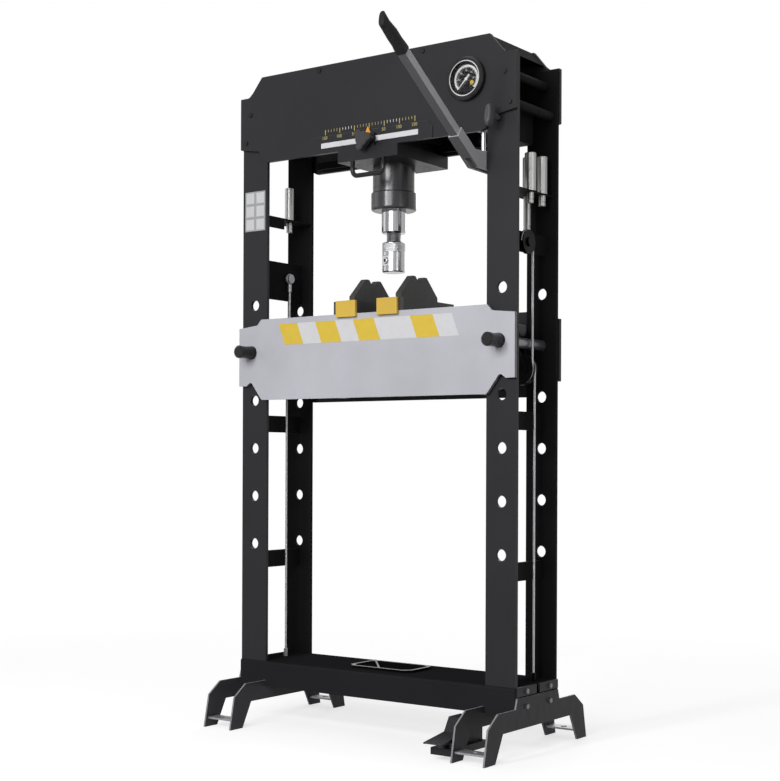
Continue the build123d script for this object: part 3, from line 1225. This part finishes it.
# Ram with its piston, bored and threaded for the nose
piston_top = BARREL_TOP - BARREL_CAP - PISTON_ROOM
piston_low = piston_top - PISTON_HEIGHT
piston_radius = BARREL_BORE - RUNNING_CLEARANCE
screw_bore = SCREW_RADIUS + SCREW_CLEARANCE
save("ram", turned([
    (screw_bore, RAM_BOTTOM), (RAM_RADIUS - RAM_EDGE, RAM_BOTTOM), (RAM_RADIUS, RAM_BOTTOM + RAM_EDGE),
    (RAM_RADIUS, piston_low), (piston_radius, piston_low), (piston_radius, piston_top), (0, piston_top),
    (0, RAM_BOTTOM + SCREW_BORE_DEPTH), (screw_bore, RAM_BOTTOM + SCREW_BORE_DEPTH),
]))

# Nose: screw above, thick round foot with a groove, and a milled flat with a set-screw hole
groove_z = NOSE_BOTTOM + NOSE_GROOVE_RISE
groove_r = NOSE_RADIUS - NOSE_GROOVE_DEPTH
nose = turned([
    (0, NOSE_BOTTOM), (
        NOSE_RADIUS - NOSE_EDGE, NOSE_BOTTOM
    ), (NOSE_RADIUS, NOSE_BOTTOM + NOSE_EDGE), (NOSE_RADIUS, groove_z),
    (groove_r, groove_z), (groove_r, groove_z + NOSE_GROOVE), (NOSE_RADIUS, groove_z + NOSE_GROOVE),
    (NOSE_RADIUS, NOSE_TOP - NOSE_EDGE), (NOSE_RADIUS - NOSE_EDGE, NOSE_TOP), (SCREW_RADIUS, NOSE_TOP),
    (SCREW_RADIUS, RAM_BOTTOM + SCREW_IN_RAM), (0, RAM_BOTTOM + SCREW_IN_RAM),
])
flat_z = NOSE_BOTTOM + NOSE_FLAT_RISE
flat_cut = block(
    NOSE_RADIUS - NOSE_FLAT_DEPTH, NOSE_RADIUS + CUT_OVERRUN, -NOSE_FLAT_WIDTH / 2, NOSE_FLAT_WIDTH / 2,
    flat_z - NOSE_FLAT_HEIGHT / 2, flat_z + NOSE_FLAT_HEIGHT / 2,
)
set_hole = bar_x(0, flat_z, NOSE_RADIUS - NOSE_HOLE_DEPTH, NOSE_RADIUS + CUT_OVERRUN, NOSE_HOLE_RADIUS)
save("nose", nose - Rot(0, 0, NOSE_FLAT_TURN) * (flat_cut + set_hole))

# Hand pump body with the tongue that carries the lever, and its oil tank
PUMP_LEFT = PUMP_X - PUMP_HALF
PUMP_RIGHT = PUMP_X + PUMP_HALF
pump = block(PUMP_LEFT, PUMP_RIGHT, HEAD_FRONT_BACK, PUMP_BACK, PUMP_BOTTOM, PUMP_TOP)
pump += block(
    PUMP_X - TONGUE_HALF, PUMP_X + TONGUE_HALF, PIVOT_Y - PIVOT_BOSS, PUMP_BACK, PIVOT_Z, PUMP_BOTTOM
)
pump += bar_x(PIVOT_Y, PIVOT_Z, PUMP_X - TONGUE_HALF, PUMP_X + TONGUE_HALF, PIVOT_BOSS)
pump -= bar_z(
    PUMP_X, PLUNGER_Y, PUMP_BOTTOM - CUT_OVERRUN, PUMP_BOTTOM + PLUNGER_BORE_DEPTH,
    PLUNGER_RADIUS + RUNNING_CLEARANCE,
)
pivot_bore = bar_x(
    PIVOT_Y, PIVOT_Z, PUMP_X - PUMP_HALF, PUMP_X + PUMP_HALF, PIVOT_RADIUS + RUNNING_CLEARANCE
)
save("pump_body", pump - pivot_bore)
tank = block(TANK_LEFT, TANK_RIGHT, PUMP_BACK, TANK_BACK, TANK_BOTTOM, TANK_BOTTOM + TANK_HEIGHT)
save("oil_tank", fillet(upright_edges(tank, Axis.X), TANK_ROUND))

# Plunger with a slotted eye for the lever's pin
PLUNGER_TOP = PUMP_BOTTOM + PLUNGER_IN_PUMP
eye_top = LEVER_PIN_HEIGHT + EYE_BLOCK_HEIGHT / 2
eye_block = block(PUMP_X - EYE_BLOCK_WIDTH / 2, PUMP_X + EYE_BLOCK_WIDTH / 2, PLUNGER_Y - EYE_BLOCK_DEPTH / 2,
                  PLUNGER_Y + EYE_BLOCK_DEPTH / 2, eye_top - EYE_BLOCK_HEIGHT, eye_top)
eye_block = fillet(upright_edges(eye_block, Axis.X), TUBE_ROUND)
slot_radius = LEVER_PIN_RADIUS + LEVER_PIN_PLAY
slot_plane = Plane(
    (PUMP_X - EYE_BLOCK_WIDTH, PLUNGER_Y, LEVER_PIN_HEIGHT), x_dir=(0, 1, 0), z_dir=(1, 0, 0)
)
slot = extrude(
    slot_plane * SlotCenterToCenter(LEVER_SLOT_PLAY * 2, slot_radius * 2), amount=EYE_BLOCK_WIDTH * 2
)
save("pump_plunger", eye_block - slot + bar_z(PUMP_X, PLUNGER_Y, eye_top, PLUNGER_TOP, PLUNGER_RADIUS))


# Hand lever: two bent cheeks on the pivot, pins across them, a socket and a square tube
def ahead(distance, across=0.0):
    """A (y, z) point at a distance up the lever from its bend, and across it."""
    rise = math.radians(LEVER_RISE_DEG)
    y = PIVOT_Y - BEND_REACH - distance * math.cos(rise) + across * math.sin(rise)
    z = PIVOT_Z - BEND_DROP + distance * math.sin(rise) + across * math.cos(rise)
    return (y, z)


h = CHEEK_HALF_HEIGHT
cheek_outline = [
    (PIVOT_Y, PIVOT_Z - PIVOT_BOSS), (PIVOT_Y, PIVOT_Z + PIVOT_BOSS), (PLUNGER_Y, LEVER_PIN_HEIGHT + h),
    ahead(TUBE_START, h), ahead(SOCKET_LENGTH, h), ahead(SOCKET_LENGTH, -h), ahead(0, -h),
]
lever = Part()
for side in (-1, 1):
    x_low, x_high = sorted((PUMP_X + side * CHEEK_INNER, PUMP_X + side * (CHEEK_INNER + CHEEK)))
    lever += plate_x(cheek_outline, x_low, x_high) + bar_x(PIVOT_Y, PIVOT_Z, x_low, x_high, PIVOT_BOSS)
reach = CHEEK_INNER + CHEEK
lever += bar_x(PIVOT_Y, PIVOT_Z, PUMP_X - reach, PUMP_X + reach, PIVOT_RADIUS)
lever += bar_x(PLUNGER_Y, LEVER_PIN_HEIGHT, PUMP_X - reach, PUMP_X + reach, LEVER_PIN_RADIUS)
tube_start = Vector(PUMP_X, *ahead(TUBE_START))
tube_axis = Vector(0, *ahead(TUBE_LENGTH)) - Vector(0, *ahead(0))
tube_plane = Plane(tube_start, x_dir=(1, 0, 0), z_dir=tube_axis)
lever += extrude(tube_plane * Rectangle(CHEEK_INNER * 2, h * 2), amount=SOCKET_LENGTH - TUBE_START)
lever += extrude(tube_plane * RectangleRounded(TUBE_SIDE, TUBE_SIDE, TUBE_ROUND), amount=TUBE_LENGTH)
save("hand_lever", lever)

# Moulded grip with a belly, a waist and a hooked end cut aslant, rounded along both sides
grip_start = TUBE_START + TUBE_LENGTH
grip_middle = grip_start + LEVER_GRIP_LENGTH / 2
grip_end = grip_start + LEVER_GRIP_LENGTH
grip_outline = [
    ahead(grip_start, -LEVER_GRIP_BUTT), ahead(grip_start, LEVER_GRIP_BUTT),
    ahead(grip_middle, LEVER_GRIP_BELLY), ahead(grip_end - LEVER_GRIP_NECK, LEVER_GRIP_WAIST),
    ahead(grip_end, LEVER_GRIP_HOOK), ahead(grip_end - LEVER_GRIP_SLANT, -LEVER_GRIP_HOOK),
    ahead(grip_middle, -LEVER_GRIP_BELLY),
]
lever_grip = plate_x(grip_outline, PUMP_X - LEVER_GRIP_WIDTH / 2, PUMP_X + LEVER_GRIP_WIDTH / 2)
turns = [grip_outline[k] for k in (2, 3, 4, 6)]
lever_grip = fillet(corner_edges(lever_grip, Axis.X, turns, LEVER_GRIP_TURN), LEVER_GRIP_TURN)
sides = lever_grip.faces().sort_by(Axis.X)
lever_grip = fillet(sides[0].edges() + sides[-1].edges(), LEVER_GRIP_ROUND)
save("lever_grip", lever_grip)

# Release valve block behind the column and its wing knob
valve = block(
    PUMP_RIGHT, VALVE_X + VALVE_HALF, FRONT_INSIDE, FRONT_INSIDE + VALVE_DEPTH, VALVE_Z - VALVE_HALF,
    VALVE_Z + VALVE_HALF,
)
valve_bore = bar_y(
    VALVE_X, VALVE_Z, FRONT, FRONT_INSIDE + SPINDLE_IN_VALVE + CUT_OVERRUN,
    SPINDLE_RADIUS + RUNNING_CLEARANCE,
)
save("release_valve", valve - valve_bore)
wing_back = HEAD_FRONT_FACE - KNOB_STANDOFF
wing = block(
    VALVE_X - KNOB_WIDTH / 2, VALVE_X + KNOB_WIDTH / 2, wing_back - KNOB_DEPTH, wing_back,
    VALVE_Z - KNOB_HEIGHT / 2, VALVE_Z + KNOB_HEIGHT / 2,
)
wing = fillet(upright_edges(wing, Axis.Y), KNOB_WIDTH / 2 - CUT_OVERRUN)
wing = fillet(wing.faces().sort_by(Axis.Y)[0].edges(), KNOB_ROUND)
wing += bar_y(VALVE_X, VALVE_Z, wing_back, HEAD_FRONT_FACE - SLIDE_CLEARANCE, KNOB_HUB_RADIUS)
wing += bar_y(VALVE_X, VALVE_Z, wing_back, FRONT_INSIDE + SPINDLE_IN_VALVE, SPINDLE_RADIUS)
save("release_knob", wing)

# Gauge: case through the plate with a bezel, dial, needle and lens
gauge_place = along_y(GAUGE_X, GAUGE_Z)
case_end = HEAD_FRONT_BACK + GAUGE_CASE_DEPTH
case = gauge_place * turned([
    (0, DIAL_BACK), (GAUGE_BEZEL_INNER, DIAL_BACK), (GAUGE_BEZEL_INNER, BEZEL_FACE),
    (
        GAUGE_BEZEL_RADIUS - GAUGE_BEZEL_ROUND, BEZEL_FACE
    ), (GAUGE_BEZEL_RADIUS, BEZEL_FACE + GAUGE_BEZEL_ROUND),
    (
        GAUGE_BEZEL_RADIUS, HEAD_FRONT_FACE
    ), (GAUGE_CASE_RADIUS, HEAD_FRONT_FACE), (GAUGE_CASE_RADIUS, case_end), (0, case_end),
])
save("gauge_case", case)
inside = GAUGE_BEZEL_INNER - GAUGE_FIT
save("gauge_dial", gauge_place * turned([
    (0, DIAL_BACK), (inside, DIAL_BACK), (inside, DIAL_FACE), (0, DIAL_FACE),
]))
lens_front = BEZEL_FACE + GAUGE_LENS_INSET
save("gauge_lens", gauge_place * turned([
    (0, lens_front), (inside, lens_front), (
        inside, lens_front + GAUGE_LENS_SHEET
    ), (0, lens_front + GAUGE_LENS_SHEET),
]))
needle_back = DIAL_FACE - NEEDLE_STANDOFF
needle_plane = Plane(
    (GAUGE_X, needle_back, GAUGE_Z), x_dir=(1, 0, 0), z_dir=(0, -1, 0)
) * Rot(0, 0, NEEDLE_REST_DEG)
needle_shape = Polygon(
    (-NEEDLE_TAIL, -NEEDLE_TAIL_HALF), (NEEDLE_LENGTH, -NEEDLE_HALF / 2), (NEEDLE_LENGTH, NEEDLE_HALF / 2),
    (-NEEDLE_TAIL, NEEDLE_TAIL_HALF), align=None,
)
needle = extrude(needle_plane * (needle_shape + Circle(NEEDLE_HUB_RADIUS)), amount=NEEDLE_SHEET)
needle += bar_y(GAUGE_X, GAUGE_Z, DIAL_FACE - SLIDE_CLEARANCE / 2, needle_back, NEEDLE_HUB_RADIUS / 2)
save("gauge_needle", needle)

# Pedal: base plate with ears and a small pump housing, and a hooded tread on a pivot
base_low = PEDAL_BASE_RISE
base_high = PEDAL_BASE_TOP
pedal_base = block(PEDAL_LEFT, INNER_FACE, PEDAL_BASE_FRONT, PEDAL_BASE_BACK, base_low, base_high)
housing = block(
    PEDAL_LEFT + PEDAL_PUMP_INSET, PEDAL_RIGHT - PEDAL_PUMP_INSET, PEDAL_PUMP_FRONT, PEDAL_BASE_BACK,
    base_high, PEDAL_PUMP_TOP,
)
housing = fillet(housing.faces().sort_by(Axis.Z)[-1].edges(), PEDAL_PUMP_ROUND)
pedal_base += housing
ear_inner = PEDAL_LEFT + PEDAL_SHEET + PEDAL_SIDE_GAP
ear_outer = PEDAL_RIGHT - PEDAL_SHEET - PEDAL_SIDE_GAP
for x_low, x_high in ((ear_inner, ear_inner + PEDAL_SHEET), (ear_outer - PEDAL_SHEET, ear_outer)):
    ear = block(
        x_low, x_high, PEDAL_PIVOT_Y - PEDAL_EAR_RADIUS, PEDAL_PIVOT_Y + PEDAL_EAR_RADIUS, base_high,
        PEDAL_PIVOT_Z,
    )
    ear += bar_x(PEDAL_PIVOT_Y, PEDAL_PIVOT_Z, x_low, x_high, PEDAL_EAR_RADIUS)
    pedal_base += ear
pedal_base -= bar_x(
    PEDAL_PIVOT_Y, PEDAL_PIVOT_Z, PEDAL_LEFT, PEDAL_RIGHT, PEDAL_PIVOT_RADIUS + RUNNING_CLEARANCE
)
save("pedal_base", pedal_base)

tread_outline = [
    (PEDAL_TIP_Y, PEDAL_TIP_Z), (PEDAL_STEP_Y, PEDAL_STEP_Z), (
        PEDAL_HOOD_FRONT_Y, PEDAL_HOOD_Z
    ), (PEDAL_HOOD_BACK_Y, PEDAL_HOOD_Z),
]
hood_low = [(PEDAL_HOOD_BACK_Y, PEDAL_SKIRT_Z), (PEDAL_HOOD_FRONT_Y, PEDAL_SKIRT_Z)]
cheek = tread_outline + hood_low + [
    (PEDAL_PIVOT_Y + PEDAL_EAR_RADIUS, PEDAL_PIVOT_Z), (PEDAL_PIVOT_Y, PEDAL_PIVOT_Z - PEDAL_EAR_RADIUS),
    (PEDAL_PIVOT_Y - PEDAL_EAR_RADIUS, PEDAL_PIVOT_Z), (PEDAL_TIP_Y, PEDAL_TIP_Z - PEDAL_SHEET),
]
sheet = tread_outline + [(y + PEDAL_SHEET, z - PEDAL_SHEET) for y, z in reversed(tread_outline)]
pedal = plate_x(sheet, PEDAL_LEFT, PEDAL_RIGHT)
for x_low, x_high in ((PEDAL_LEFT, PEDAL_LEFT + PEDAL_SHEET), (PEDAL_RIGHT - PEDAL_SHEET, PEDAL_RIGHT)):
    pedal += plate_x(cheek, x_low, x_high)
pedal += bar_x(PEDAL_PIVOT_Y, PEDAL_PIVOT_Z, PEDAL_LEFT, PEDAL_RIGHT, PEDAL_PIVOT_RADIUS)
save("foot_pedal", pedal)

# The origin is on the floor under the middle of the whole
boxes = [solid.bounding_box() for solids in NODES.values() for solid in solids]
middle_y = (min(box.min.Y for box in boxes) + max(box.max.Y for box in boxes)) / 2
for name, solids in NODES.items():
    moved = [Pos(0, -middle_y, 0) * solid for solid in solids]
    export_step(moved[0] if len(moved) == 1 else Compound(moved), f"parts/{name}.step")
